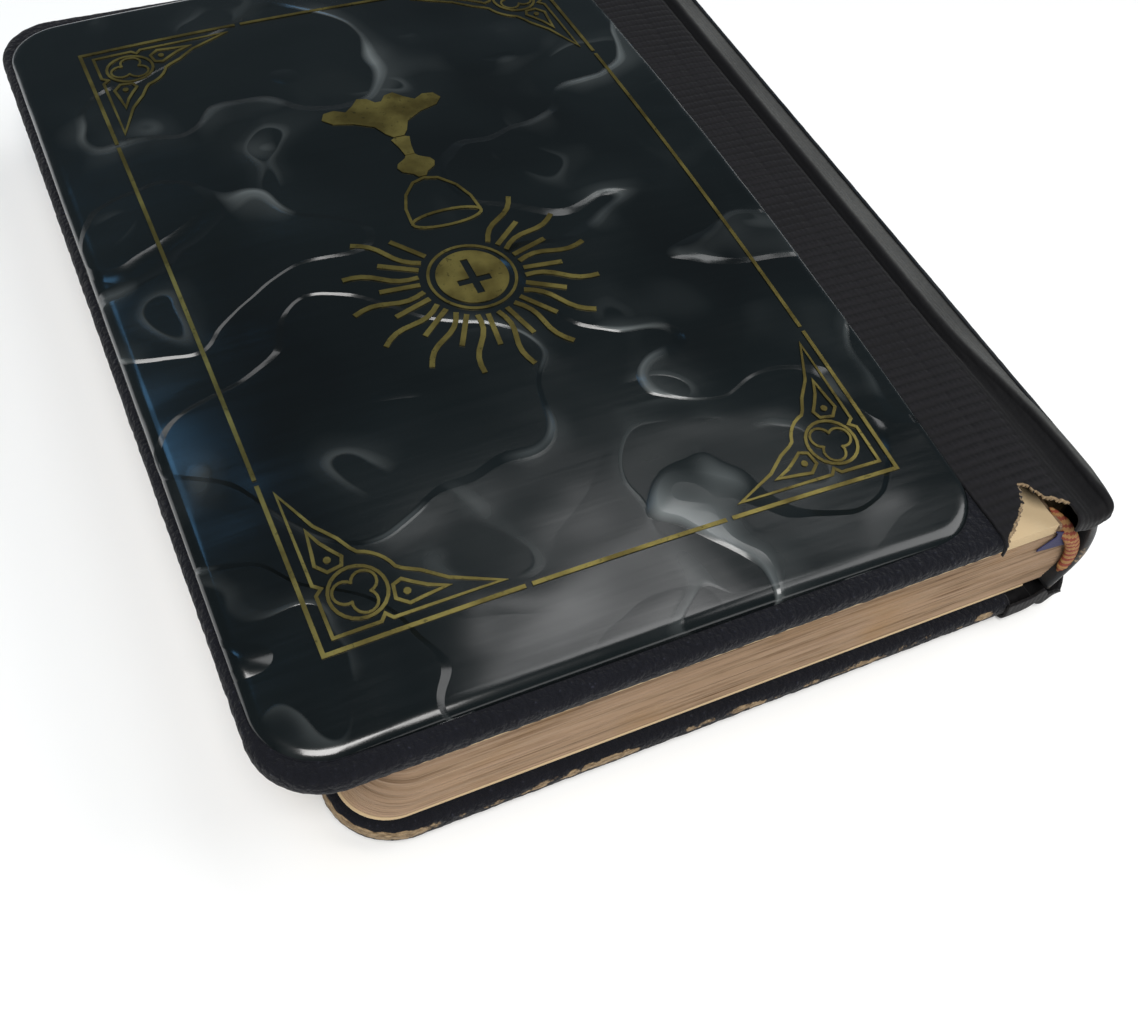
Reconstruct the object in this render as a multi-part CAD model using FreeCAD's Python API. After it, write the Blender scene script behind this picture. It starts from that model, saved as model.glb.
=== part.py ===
"""Small case-bound prayer book lying shut on its back cover.

Millimetres. +Z up through the front cover, +Y towards the head, the spine at -X.
Origin: middle of the footprint, on the face the book rests on.
"""
import FreeCAD
import Part
import math
import os

V = FreeCAD.Vector

# ---- overall sizes -------------------------------------------------------
OVERALL_W = 98.0
COVER_HALF_L = 60.6
COVER_CORNER_R = 7.5

# ---- case: boards, cloth, plates -----------------------------------------
BOARD_T = 1.8
CLOTH_T = 0.4
PASTEDOWN_T = 0.15
TURN_IN_W = 8.0
PASTEDOWN_INSET = 3.0
BOARD_BACK = 17.6
BACK_SHIFT = 6.6
PLATE_BACK_T = 0.9
PLATE_BACK_GAP = 0.4
PLATE_INSET_FORE = 0.9
PLATE_INSET_END = 2.2
PLATE_CORNER_R = 7.0
PLATE_WALL = 0.9
PLATE_RIM_W = 1.2
PLATE_EDGE_ROUND = 0.5
CROWN_RISE = 4.15
RIM_RISE = 0.25
EDGE_ROUND = 0.7

# ---- text block -----------------------------------------------------------
TEXT_T = 12.0
TEXT_INSET_END = 1.4
SPINE_ROUND = 3.0
TEXT_BEHIND = 4.4
FORE_SQUARE = 1.2
FORE_HOLLOW = 1.6
TEXT_CORNER_R = 5.5
LEAF_T = 0.2
LEAF_PITCH = 0.3
LEAF_COUNT = 5
LEAF_HINGE_IN = 3.5
LEAF_START = 0.8
SECTIONS_PER_HALF = 3
MID_GAP = 0.15
SECTION_GAP = 0.06
MULL_T = 0.2

# ---- spine and joints -----------------------------------------------------
SPINE_BULGE = 2.5
SPINE_CHORD_HALF = 8.5
SPINE_HALF_H = 7.3
INLAY_T = 0.9
INLAY_INSET = 6.6
TUBE_T = 0.25
JOINT_BEHIND = 3.5
JOINT_DIP = 0.6
JOINT_DIP_AT = 3.0
BEAD_R = 0.6
RIBBON_T = 0.15
RIBBON_W = 3.2

# ---- clearances -----------------------------------------------------------
GLUE = 0.03
COVER_GAP = 0.25

# ---- gilt tooling ---------------------------------------------------------
GILT_T = 0.08
GILT_OFF = -0.75
GILT_HALF_W = 32.0
GILT_HALF_L = 48.6
LINE_W = 0.46
BREAK_AT = 20.8
BREAK_W = 0.7
STROKE_W = 0.36
ORN_INSET = 1.4
ORN_TIP = 18.7
ORN_MID = 5.24
ORN_RING_R = 2.9
SUN_X = 0.8
SUN_Y = 8.6
DISC_R = 4.2
SUN_RING_R = 5.2
RAY_COUNT = 32
RAY_LONG = 14.6
RAY_SHORT = 10.8
RAY_W = 0.6

# ---- levels ---------------------------------------------------------------
X_FORE = OVERALL_W / 2
X_SPINE = -OVERALL_W / 2
Z_B_CLOTH = PLATE_BACK_T + GLUE
Z_B_BOARD = Z_B_CLOTH + CLOTH_T
Z_B_TURN = Z_B_BOARD + BOARD_T
Z_B_PASTE = Z_B_TURN + CLOTH_T
Z_B_IN = Z_B_PASTE + PASTEDOWN_T
Z_TEXT0 = Z_B_IN + COVER_GAP
Z_TEXT1 = Z_TEXT0 + TEXT_T
Z_F_IN = Z_TEXT1 + COVER_GAP
Z_F_PASTE = Z_F_IN + PASTEDOWN_T
Z_F_TURN = Z_F_PASTE + CLOTH_T
Z_F_BOARD = Z_F_TURN + BOARD_T
Z_F_CLOTH = Z_F_BOARD + CLOTH_T
Z_CROWN = Z_F_CLOTH + GLUE + CROWN_RISE
Z_MID = (Z_TEXT0 + Z_TEXT1) / 2
Z_REAR0 = Z_TEXT0 + LEAF_T + MID_GAP
Z_FRONT1 = Z_TEXT1 - LEAF_PITCH * (LEAF_COUNT + 1) - 0.1
PLATE_HALF_L = COVER_HALF_L - PLATE_INSET_END
TEXT_HALF_L = COVER_HALF_L - TEXT_INSET_END
TEXT_FORE_X = X_FORE - BACK_SHIFT - FORE_SQUARE
TEXT_SPINE_X = X_SPINE + TEXT_BEHIND
JOINT_X0 = X_SPINE + JOINT_BEHIND
LEAF_HINGE_X = TEXT_SPINE_X + LEAF_HINGE_IN
TEXT_R = ((TEXT_T / 2) ** 2 + SPINE_ROUND ** 2) / (2 * SPINE_ROUND)
TEXT_CX = TEXT_SPINE_X + TEXT_R
SPINE_R = (SPINE_CHORD_HALF ** 2 + SPINE_BULGE ** 2) / (2 * SPINE_BULGE)
SPINE_CX = X_SPINE + SPINE_R
LEAF_X0 = LEAF_HINGE_X + LEAF_START
BOARD_SPINE_X = X_SPINE + BOARD_BACK
PLATE_FORE_X = X_FORE - PLATE_INSET_FORE
PLATE_SPINE_X = BOARD_SPINE_X + PLATE_BACK_GAP
GILT_X = (PLATE_SPINE_X + PLATE_FORE_X) / 2 + GILT_OFF
PLATE_REACH = math.hypot((PLATE_FORE_X - PLATE_SPINE_X) / 2, PLATE_HALF_L)
CROWN_FALL = CROWN_RISE - RIM_RISE
CROWN_R = (PLATE_REACH ** 2 + CROWN_FALL ** 2) / (2 * CROWN_FALL)


def rounded_slab(x0, x1, half_l, z0, z1, radius, all_corners):
    """Flat slab; corners rounded at the fore-edge, or at all four."""
    slab = Part.makeBox(x1 - x0, 2 * half_l, z1 - z0, V(x0, -half_l, z0))
    edges = []
    for edge in slab.Edges:
        a, b = edge.Vertexes[0].Point, edge.Vertexes[1].Point
        upright = abs(a.x - b.x) < 1e-6 and abs(a.y - b.y) < 1e-6
        if upright and (all_corners or a.x > (x0 + x1) / 2):
            edges.append(edge)
    return slab.makeFillet(radius, edges)


def rounded_rim(slab, z_levels, radius, x_limit):
    """Rounds the rim of a slab at the given levels, away from its spine edge."""
    edges = []
    for edge in slab.Edges:
        box = edge.BoundBox
        flat = box.ZLength < 1e-6
        at_level = min(abs(box.ZMin - z) for z in z_levels) < 1e-6
        if flat and at_level and box.XMax > x_limit + 1e-3:
            edges.append(edge)
    return slab.makeFillet(radius, edges)


def arc_x(centre_x, radius, z):
    """Spine-side x of a circle about (centre_x, Z_MID) at height z."""
    return centre_x - math.sqrt(radius ** 2 - (z - Z_MID) ** 2)


def arc_band(centre_x, r_in, r_out, z0, z1, y0, y1):
    """Curved strip between two radii, z0 to z1, extruded y0 to y1."""
    zm = (z0 + z1) / 2
    outer = [V(arc_x(centre_x, r_out, z), y0, z) for z in (z0, zm, z1)]
    inner = [V(arc_x(centre_x, r_in, z), y0, z) for z in (z1, zm, z0)]
    edges = [
        Part.Arc(outer[0], outer[1], outer[2]).toShape(),
        Part.makeLine(outer[2], inner[0]),
        Part.Arc(inner[0], inner[1], inner[2]).toShape(),
        Part.makeLine(inner[2], outer[0]),
    ]
    return Part.Face(Part.Wire(edges)).extrude(V(0, y1 - y0, 0))


def profile_strip(points, half_l):
    """Straight strip with the given x-z section, full length of the case."""
    ring = [V(x, -half_l, z) for x, z in points]
    return Part.Face(Part.makePolygon(ring + [ring[0]])).extrude(V(0, 2 * half_l, 0))


def fore_x(z):
    """Hollowed fore-edge of the leaves at height z."""
    return TEXT_FORE_X - FORE_HOLLOW * (1 - ((z - Z_MID) / (TEXT_T / 2)) ** 2)


def text_blank():
    """Whole text block before it is divided: rounded spine, hollow fore-edge."""
    y0 = -TEXT_HALF_L
    left = [V(arc_x(TEXT_CX, TEXT_R, z), y0, z) for z in (Z_TEXT0, Z_MID, Z_TEXT1)]
    right = [V(fore_x(z), y0, z) for z in (Z_TEXT1, Z_MID, Z_TEXT0)]
    edges = [
        Part.Arc(left[0], left[1], left[2]).toShape(),
        Part.makeLine(left[2], right[0]),
        Part.Arc(right[0], right[1], right[2]).toShape(),
        Part.makeLine(right[2], left[0]),
    ]
    block = Part.Face(Part.Wire(edges)).extrude(V(0, 2 * TEXT_HALF_L, 0))
    trim = rounded_slab(-60, TEXT_FORE_X, TEXT_HALF_L, Z_TEXT0 - 1, Z_TEXT1 + 1, TEXT_CORNER_R, False)
    return block.common(trim)


def sections(z0, z1):
    """The folded sections of one half of the text block, bottom to top."""
    blank = text_blank()
    pitch = (z1 - z0 + SECTION_GAP) / SECTIONS_PER_HALF
    found = []
    for i in range(SECTIONS_PER_HALF):
        low = z0 + i * pitch
        slab = Part.makeBox(120, 160, pitch - SECTION_GAP, V(-60, -80, low))
        found.append(blank.common(slab))
    return found


def leaf(z0):
    """One free leaf, starting just clear of the sewing fold."""
    return rounded_slab(LEAF_X0, fore_x(z0), TEXT_HALF_L, z0, z0 + LEAF_T, TEXT_CORNER_R, False)


def sphere(radius):
    """Ball whose top is the crown of the padded plate, less the drop in radius."""
    return Part.makeSphere(radius, V(0, 0, 0)).translated(V(crown_x(), 0, Z_CROWN - CROWN_R))


def crown_x():
    """Middle of the front plate in x."""
    return (PLATE_SPINE_X + PLATE_FORE_X) / 2


def board(z0, shift):
    """Stiff board of one cover, moved towards the spine by shift."""
    inner = X_FORE - CLOTH_T - GLUE
    half = COVER_HALF_L - CLOTH_T - GLUE
    radius = COVER_CORNER_R - CLOTH_T
    slab = rounded_slab(BOARD_SPINE_X, inner, half, z0 + GLUE, z0 + BOARD_T - GLUE, radius, False)
    return slab.translated(V(-shift, 0, 0))


def cover_cloth(z_low, z_board, z_high, z_window, shift):
    """Cloth folded round the board, with turn-ins on the inside."""
    skin = rounded_slab(BOARD_SPINE_X, X_FORE, COVER_HALF_L, z_low, z_high, COVER_CORNER_R, False)
    skin = rounded_rim(skin, (z_low, z_high), EDGE_ROUND, BOARD_SPINE_X)
    hole = rounded_slab(BOARD_SPINE_X - 5, X_FORE - CLOTH_T, COVER_HALF_L - CLOTH_T,
                        z_board, z_board + BOARD_T, COVER_CORNER_R - CLOTH_T, False)
    window = rounded_slab(BOARD_SPINE_X - 5, X_FORE - TURN_IN_W, COVER_HALF_L - TURN_IN_W,
                          z_window, z_window + CLOTH_T, COVER_CORNER_R, False)
    return skin.cut(hole).cut(window).translated(V(-shift, 0, 0))


def pastedown(z_sheet, z_window, shift):
    """Endpaper glued to the inside of the cover, sunk between the turn-ins."""
    x0 = BOARD_SPINE_X
    sheet = rounded_slab(x0, X_FORE - PASTEDOWN_INSET, COVER_HALF_L - PASTEDOWN_INSET,
                         z_sheet, z_sheet + PASTEDOWN_T, TEXT_CORNER_R, False)
    sunk = rounded_slab(x0, X_FORE - TURN_IN_W - GLUE, COVER_HALF_L - TURN_IN_W - GLUE,
                        z_window, z_window + CLOTH_T, COVER_CORNER_R - GLUE, False)
    return sheet.fuse(sunk).removeSplitter().translated(V(-shift, 0, 0))


def front_plate():
    """Crowned plate: a thin shell with a rim that stands on the cloth."""
    z0 = Z_F_CLOTH + GLUE
    outer = rounded_slab(PLATE_SPINE_X, PLATE_FORE_X, PLATE_HALF_L, z0, Z_CROWN + 1, PLATE_CORNER_R, True)
    outer = outer.common(sphere(CROWN_R))
    rim = [e for e in outer.Edges if e.BoundBox.ZMin > z0 + 0.1 and e.BoundBox.ZLength < 3.5
           and (e.BoundBox.XLength > 1 or e.BoundBox.YLength > 1)]
    outer = outer.makeFillet(PLATE_EDGE_ROUND, rim)
    return outer.cut(plate_hollow(z0, PLATE_RIM_W, PLATE_WALL, 1.0))


def plate_hollow(z0, rim, wall, below):
    """Space under the crowned plate, or the wadding that fills it."""
    room = rounded_slab(PLATE_SPINE_X + rim, PLATE_FORE_X - rim, PLATE_HALF_L - rim,
                        z0 - below, Z_CROWN + 1, PLATE_CORNER_R - rim, True)
    return room.common(sphere(CROWN_R - wall))


def back_plate():
    """Flat plate the closed book rests on."""
    slab = rounded_slab(PLATE_SPINE_X, PLATE_FORE_X, PLATE_HALF_L, 0, PLATE_BACK_T, PLATE_CORNER_R, True)
    slab = rounded_rim(slab, (0.0,), PLATE_EDGE_ROUND, PLATE_SPINE_X - 10)
    return slab.translated(V(-BACK_SHIFT, 0, 0))


def joint_cloth(z_outer, side, shift):
    """Cloth of the joint groove, from the hinge line to the board edge."""
    x0, x1 = JOINT_X0, BOARD_SPINE_X - shift - GLUE
    xm = x0 + JOINT_DIP_AT
    t = side * CLOTH_T
    dip = side * JOINT_DIP
    points = [(x0, z_outer), (x0 + 0.6, z_outer), (xm, z_outer - dip),
              (xm + JOINT_DIP_AT, z_outer), (x1, z_outer)]
    under = [(x, z - t) for x, z in reversed(points)]
    return profile_strip(points + under, COVER_HALF_L)


def headband(side):
    """Striped bead sewn over the end of the spine folds."""
    centre = V(TEXT_CX, side * (TEXT_HALF_L + 0.05 + BEAD_R), Z_MID)
    ring = Part.makeTorus(TEXT_R - 0.5, BEAD_R, centre, V(0, 1, 0))
    cut = Part.makeBox(20, 10, TEXT_T - 1.6, V(TEXT_CX - 22, centre.y - 5, Z_TEXT0 + 0.8))
    return ring.common(cut)


def ribbon_stub():
    """Remains of the marker ribbon, folded over the bead from the spine."""
    z0, z1 = Z_MID - 0.3 - RIBBON_W, Z_MID - 0.3
    r_low = TEXT_R + MULL_T + GLUE
    y_top = TEXT_HALF_L + 0.1 + 2 * BEAD_R
    r_in = TEXT_R - 0.5 - BEAD_R - 0.05
    leg = arc_band(TEXT_CX, r_low, r_low + RIBBON_T, z0, z1, TEXT_HALF_L - 8, y_top + RIBBON_T)
    over = arc_band(TEXT_CX, r_in - RIBBON_T, r_low + RIBBON_T, z0, z1, y_top, y_top + RIBBON_T)
    tip = arc_band(TEXT_CX, r_in - RIBBON_T, r_in, z0, z1, TEXT_HALF_L + 0.1, y_top + RIBBON_T)
    return leg.fuse(over).fuse(tip).removeSplitter()


def hollow_lining():
    """Folded paper tube: one leg on the spine inlay, one on the rear folds."""
    r_out = SPINE_R - CLOTH_T - INLAY_T - 2 * GLUE
    half = TEXT_HALF_L - 9
    z0 = Z_REAR0 - 0.2
    far = arc_band(SPINE_CX, r_out - TUBE_T, r_out, z0, Z_MID + 6, -half, half)
    r_near = TEXT_R + MULL_T + GLUE
    near = arc_band(TEXT_CX, r_near, r_near + TUBE_T, z0, Z_MID - 0.6, -half, half)
    x0 = arc_x(SPINE_CX, r_out - TUBE_T / 2, z0)
    x1 = arc_x(TEXT_CX, r_near + TUBE_T / 2, z0 + TUBE_T)
    fold = Part.makeBox(x1 - x0, 2 * half, TUBE_T, V(x0, -half, z0))
    return far.fuse(near).fuse(fold).removeSplitter()


# ---- gilt tooling ---------------------------------------------------------
def stroke(points, width, closed):
    """Flat band of constant width along a chain of points."""
    n = len(points)
    left, right = [], []
    for i in range(n):
        a = points[(i - 1) % n] if closed or i > 0 else points[i]
        b = points[(i + 1) % n] if closed or i < n - 1 else points[i]
        here = points[i]
        d1 = (here[0] - a[0], here[1] - a[1])
        d2 = (b[0] - here[0], b[1] - here[1])
        l1, l2 = math.hypot(*d1) or 1.0, math.hypot(*d2) or 1.0
        t = (d1[0] / l1 + d2[0] / l2, d1[1] / l1 + d2[1] / l2)
        length = math.hypot(*t)
        t = (t[0] / length, t[1] / length)
        single = (d1[0] / l1, d1[1] / l1) if math.hypot(*d1) > 0 else (d2[0] / l2, d2[1] / l2)
        lean = max(0.35, abs(t[0] * single[0] + t[1] * single[1]))
        off = width / 2 / lean
        left.append(V(here[0] - t[1] * off, here[1] + t[0] * off, 0))
        right.append(V(here[0] + t[1] * off, here[1] - t[0] * off, 0))
    if closed:
        one = Part.Face(Part.makePolygon(left + [left[0]]))
        two = Part.Face(Part.makePolygon(right + [right[0]]))
        big, small = (one, two) if one.Area > two.Area else (two, one)
        return big.cut(small)
    ring = left + right[::-1]
    return Part.Face(Part.makePolygon(ring + [ring[0]]))


def on_crown(faces):
    """Raises flat shapes into a thin skin lying on the crowned plate."""
    merged = faces[0]
    if len(faces) > 1:
        merged = faces[0].multiFuse(faces[1:]).removeSplitter()
    merged.translate(V(GILT_X, 0, Z_F_CLOTH))
    prism = merged.extrude(V(0, 0, 20))
    shell = sphere(CROWN_R + 0.02 + GILT_T).cut(sphere(CROWN_R + 0.02))
    return prism.common(shell)


def bar(x0, y0, x1, y1):
    """Frame line between two points parallel to an axis."""
    return stroke([(x0, y0), (x1, y1)], LINE_W, False)


def frame_lines():
    """Rectangle of thin lines with a small break beyond each ornament tip."""
    w, h = GILT_HALF_W, GILT_HALF_L
    a, b = BREAK_AT - BREAK_W / 2, BREAK_AT + BREAK_W / 2
    faces = []
    for s in (-1, 1):
        faces.append(bar(s * w, -h + b, s * w, h - b))
        faces.append(bar(-w + b, s * h, w - b, s * h))
        for q in (-1, 1):
            corner = [(s * w, q * (h - a)), (s * w, q * h), (s * (w - a), q * h)]
            faces.append(stroke(corner, LINE_W, False))
    return faces


def turned(points, sx, sy):
    """Places ornament points, measured inwards from the frame's corner."""
    return [(sx * (GILT_HALF_W - u), sy * (GILT_HALF_L - v)) for u, v in points]


def circle_points(cx, cy, radius, start, sweep, count):
    """Points along an arc."""
    step = math.radians(sweep) / count
    first = math.radians(start)
    return [(cx + radius * math.cos(first + i * step), cy + radius * math.sin(first + i * step))
            for i in range(count + 1)]


def ornament_outline():
    """Ogee triangle with two long tips and an arch over the ring."""
    m, tip, inset = ORN_MID, ORN_TIP, ORN_INSET
    side = [(tip, inset), (m + 8.6, inset + 2.2), (m + 6.4, m + 0.1), (m + 4.9, m + 0.9)]
    arch = circle_points(m, m, 4.5, 18, 54, 6)
    other = [(v, u) for u, v in reversed(side)]
    base = [(inset, m + 2.2), (inset + 0.7, m + 1.6), (inset, m + 1.0), (inset, inset)]
    mirrored = [(v, u) for u, v in reversed(base[:3])]
    return side + arch + other + base + mirrored


def leaf_lobe(flip):
    """Pointed leaf between the ring and a tip."""
    m = ORN_MID
    pts = [(m + 3.35, m - 0.5), (m + 4.3, m - 0.15), (m + 5.3, m - 0.9), (m + 6.5, m - 1.7),
           (m + 8.2, m - 2.45), (m + 5.6, m - 2.75), (m + 4.2, m - 2.95), (m + 3.1, m - 2.0)]
    return [(v, u) for u, v in pts] if flip else pts


def ornament(sx, sy):
    """One corner ornament as a list of flat shapes."""
    m = ORN_MID
    faces = [stroke(turned(ornament_outline(), sx, sy), STROKE_W, True)]
    ring = circle_points(m, m, ORN_RING_R, 0, 345, 23)
    faces.append(stroke(turned(ring, sx, sy), STROKE_W, True))
    for flip in (False, True):
        faces.append(stroke(turned(leaf_lobe(flip), sx, sy), STROKE_W, True))
        dot = circle_points(m + 4.4, m - 1.6, 0.4, 0, 315, 7)
        dot = [(v, u) for u, v in dot] if flip else dot
        dot = turned(dot, sx, sy)
        faces.append(Part.Face(Part.makePolygon([V(x, y, 0) for x, y in dot + [dot[0]]])))
    for turn in (45, 165, 285):
        a = math.radians(turn)
        cx, cy = m + 1.25 * math.cos(a), m + 1.25 * math.sin(a)
        lobe = circle_points(cx, cy, 1.25, turn - 125, 250, 12)
        faces.append(stroke(turned(lobe, sx, sy), STROKE_W * 0.8, False))
    return faces


def ray(index):
    """One ray of the glory, straight or waved in turn."""
    angle = 2 * math.pi * (index + 0.5) / RAY_COUNT
    reach = RAY_LONG if index % 2 == 0 else RAY_SHORT
    wave = 0.45 if index % 2 == 0 else 0.0
    start = SUN_RING_R + 0.9
    c, s = math.cos(angle), math.sin(angle)
    points = []
    for i in range(9):
        r = start + (reach - start) * i / 8
        w = wave * math.sin(2 * math.pi * i / 8)
        points.append((SUN_X + r * c - w * s, SUN_Y + r * s + w * c))
    return stroke(points, RAY_W, False)


def sunburst():
    """Rays round the host, left out where the cup of the chalice stands."""
    faces = []
    for i in range(RAY_COUNT):
        angle = 360 * (i + 0.5) / RAY_COUNT
        if abs(angle - 270) > 29:
            faces.append(ray(i))
    return faces


def medallion():
    """Host: a ring round a disc that carries a plain cross."""
    disc = Part.Face(Part.Wire(Part.makeCircle(DISC_R, V(SUN_X, SUN_Y, 0))))
    hole = Part.makePlane(0.9, 5.6, V(SUN_X - 0.45, SUN_Y - 2.8, 0))
    arm = Part.makePlane(4.0, 0.9, V(SUN_X - 2.0, SUN_Y + 0.2, 0))
    disc = disc.cut(hole).cut(arm)
    outer = Part.Face(Part.Wire(Part.makeCircle(SUN_RING_R, V(SUN_X, SUN_Y, 0))))
    inner = Part.Face(Part.Wire(Part.makeCircle(SUN_RING_R - 0.35, V(SUN_X, SUN_Y, 0))))
    return [disc, outer.cut(inner)]


def mirrored_outline(half):
    """Closed outline from its right-hand half, about the chalice axis."""
    cx = SUN_X - 1.0
    points = [V(cx + x, y, 0) for x, y in half] + [V(cx - x, y, 0) for x, y in reversed(half)]
    return Part.Face(Part.makePolygon(points + [points[0]]))


def chalice():
    """Cup, knop, stem and spreading foot under the host."""
    rim = circle_points(SUN_X - 1.0, -1.6, 1.0, 0, 345, 23)
    rim = [(SUN_X - 1.0 + (x - SUN_X + 1.0) * 4.3, -1.6 + (y + 1.6) * 1.3) for x, y in rim]
    bowl = [(4.3, -1.8), (4.1, -4.4), (3.2, -6.8), (1.6, -8.7), (0.0, -9.2)]
    cx = SUN_X - 1.0
    chain = [(cx - x, y) for x, y in bowl] + [(cx + x, y) for x, y in bowl[-2::-1]]
    knop = mirrored_outline([(0.5, -9.5), (0.9, -10.2), (2.1, -11.0), (2.4, -11.8), (2.1, -12.5),
                             (0.9, -13.3), (0.6, -13.8)])
    stem = mirrored_outline([(0.6, -13.9), (0.8, -15.6), (1.2, -17.2), (0.7, -17.5)])
    foot = mirrored_outline([(0.7, -17.7), (1.4, -18.6), (2.2, -20.4), (4.4, -21.8), (6.9, -22.6),
                             (7.9, -23.8), (7.3, -25.0), (5.9, -25.2), (4.6, -24.4), (3.4, -25.4),
                             (2.4, -26.6), (1.2, -26.3), (0.4, -25.2)])
    return [stroke(rim, STROKE_W, True), stroke(chain, STROKE_W, False), knop, stem, foot]


def build():
    """Returns every sub-part of the book by name."""
    parts = {}
    rear = sections(Z_REAR0, Z_MID - MID_GAP / 2)
    front = sections(Z_MID + MID_GAP / 2, Z_FRONT1)
    for i in range(SECTIONS_PER_HALF):
        parts["rear_section_%d" % (i + 1)] = rear[i]
        parts["front_section_%d" % (i + 1)] = front[i]
    for i in range(LEAF_COUNT):
        parts["leaf_%d" % (i + 1)] = leaf(Z_TEXT1 - 0.05 - LEAF_T - LEAF_PITCH * (i + 1))
    parts["front_flyleaf"] = leaf(Z_TEXT1 - 0.05 - LEAF_T)
    parts["back_flyleaf"] = leaf(Z_TEXT0 + 0.05)
    half = TEXT_HALF_L - 9
    parts["mull_rear"] = arc_band(TEXT_CX, TEXT_R, TEXT_R + MULL_T, Z_REAR0 + 0.1, Z_MID - 0.4, -half, half)
    parts["mull_front"] = arc_band(TEXT_CX, TEXT_R, TEXT_R + MULL_T, Z_MID + 0.4, Z_FRONT1 - 0.1, -half, half)
    parts["hollow_lining"] = hollow_lining()
    parts["headband"] = headband(1)
    parts["tailband"] = headband(-1)
    parts["ribbon_stub"] = ribbon_stub()
    z0, z1 = Z_MID - SPINE_HALF_H, Z_MID + SPINE_HALF_H
    parts["spine_cloth"] = arc_band(SPINE_CX, SPINE_R - CLOTH_T, SPINE_R, z0, z1, -COVER_HALF_L, COVER_HALF_L)
    r_inlay = SPINE_R - CLOTH_T - GLUE
    parts["spine_inlay"] = arc_band(SPINE_CX, r_inlay - INLAY_T, r_inlay, z0 + 0.4, z1 - 0.4,
                                    -COVER_HALF_L + INLAY_INSET, COVER_HALF_L - INLAY_INSET)
    parts["front_board"] = board(Z_F_TURN, 0)
    parts["front_cover_cloth"] = cover_cloth(Z_F_PASTE, Z_F_TURN, Z_F_CLOTH, Z_F_PASTE, 0)
    parts["front_pastedown"] = pastedown(Z_F_IN, Z_F_IN + PASTEDOWN_T, 0)
    parts["front_joint_cloth"] = joint_cloth(Z_F_CLOTH, 1, 0)
    parts["front_plate"] = front_plate()
    parts["front_padding"] = plate_hollow(Z_F_CLOTH + GLUE, PLATE_RIM_W + 0.05, PLATE_WALL + 0.05, 0.0)
    parts["back_board"] = board(Z_B_BOARD, BACK_SHIFT)
    parts["back_cover_cloth"] = cover_cloth(Z_B_CLOTH, Z_B_BOARD, Z_B_PASTE, Z_B_TURN,
                                            BACK_SHIFT)
    parts["back_pastedown"] = pastedown(Z_B_PASTE, Z_B_TURN, BACK_SHIFT)
    parts["back_joint_cloth"] = joint_cloth(Z_B_CLOTH, -1, BACK_SHIFT)
    parts["back_plate"] = back_plate()
    parts["gilt_frame"] = on_crown(frame_lines())
    ornaments = []
    for sx in (-1, 1):
        for sy in (-1, 1):
            ornaments.append(on_crown(ornament(sx, sy)))
    parts["gilt_corner_ornaments"] = Part.makeCompound(ornaments)
    parts["gilt_sunburst"] = on_crown(sunburst())
    parts["gilt_medallion"] = on_crown(medallion())
    parts["gilt_chalice"] = on_crown(chalice())
    return parts


os.makedirs("parts", exist_ok=True)
for node, shape in build().items():
    shape.exportStep("parts/%s.step" % node)
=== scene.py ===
"""Prayer book with pearl-effect covers: the looks round the fixed frame, laid out as an add-on."""
import bpy
import math
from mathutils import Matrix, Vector, noise


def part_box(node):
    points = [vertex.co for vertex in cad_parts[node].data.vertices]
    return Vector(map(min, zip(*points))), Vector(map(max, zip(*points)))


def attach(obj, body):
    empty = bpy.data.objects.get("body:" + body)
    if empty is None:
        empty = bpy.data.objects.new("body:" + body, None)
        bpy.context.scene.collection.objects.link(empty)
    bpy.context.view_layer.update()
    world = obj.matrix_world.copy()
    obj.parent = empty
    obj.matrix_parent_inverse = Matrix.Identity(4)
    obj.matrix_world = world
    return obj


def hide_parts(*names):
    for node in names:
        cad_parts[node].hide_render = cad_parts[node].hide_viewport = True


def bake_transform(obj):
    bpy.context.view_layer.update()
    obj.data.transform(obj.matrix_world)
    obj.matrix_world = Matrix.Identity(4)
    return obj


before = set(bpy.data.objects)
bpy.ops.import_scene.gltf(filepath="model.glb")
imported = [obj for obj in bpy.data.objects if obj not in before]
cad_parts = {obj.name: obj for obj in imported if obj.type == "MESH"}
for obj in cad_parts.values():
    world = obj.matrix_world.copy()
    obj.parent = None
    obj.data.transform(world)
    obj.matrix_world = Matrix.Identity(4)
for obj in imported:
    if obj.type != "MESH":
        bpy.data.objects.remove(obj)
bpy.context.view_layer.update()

bl_info = {
    "name": "Prayer Book",
    "version": (1, 0, 0),
    "blender": (4, 5, 0),
    "location": "3D View > Sidebar > Prayer Book",
    "description": "Builds the visible pieces and finishes of a small case-bound prayer book",
    "category": "Object",
}

MM = 0.001


# ---- sizes and colours a user may change ----------------------------------
def length(name, text, value):
    """A length property in metres, from a default in millimetres."""
    return bpy.props.FloatProperty(name=name, description=text, default=value * MM, subtype="DISTANCE",
                                   unit="LENGTH", precision=5)


def colour(name, text, value):
    """A colour property from an sRGB hex value."""
    return bpy.props.FloatVectorProperty(name=name, description=text, default=linear(value),
                                         subtype="COLOR", size=3, min=0.0, max=1.0)


def linear(value):
    """Linear colour from an sRGB hex value."""
    parts = [int(value[i:i + 2], 16) / 255 for i in (1, 3, 5)]
    return tuple(c / 12.92 if c <= 0.04045 else ((c + 0.055) / 1.055) ** 2.4 for c in parts)


class BookSizes(bpy.types.PropertyGroup):
    """Sizes of the visible detail."""
    rib_pitch: length("Rib pitch", "Distance between the ribs of the joint cloth", 1.3)
    rib_depth: length("Rib depth", "Height of the ribs of the joint cloth", 0.13)
    thread: length("Cloth thread", "Thread spacing of the napped cloth", 0.75)
    rim_round: length("Plate rim", "Radius of the moulded rim of the front plate", 1.5)
    groove: length("Joint groove", "Depth of the groove beside the spine", 0.9)
    page_step: length("Page step", "How far the page edges stand out of line", 0.1)
    silk: length("Silk turn", "Width of one turn of silk on the headbands", 1.1)


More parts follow.
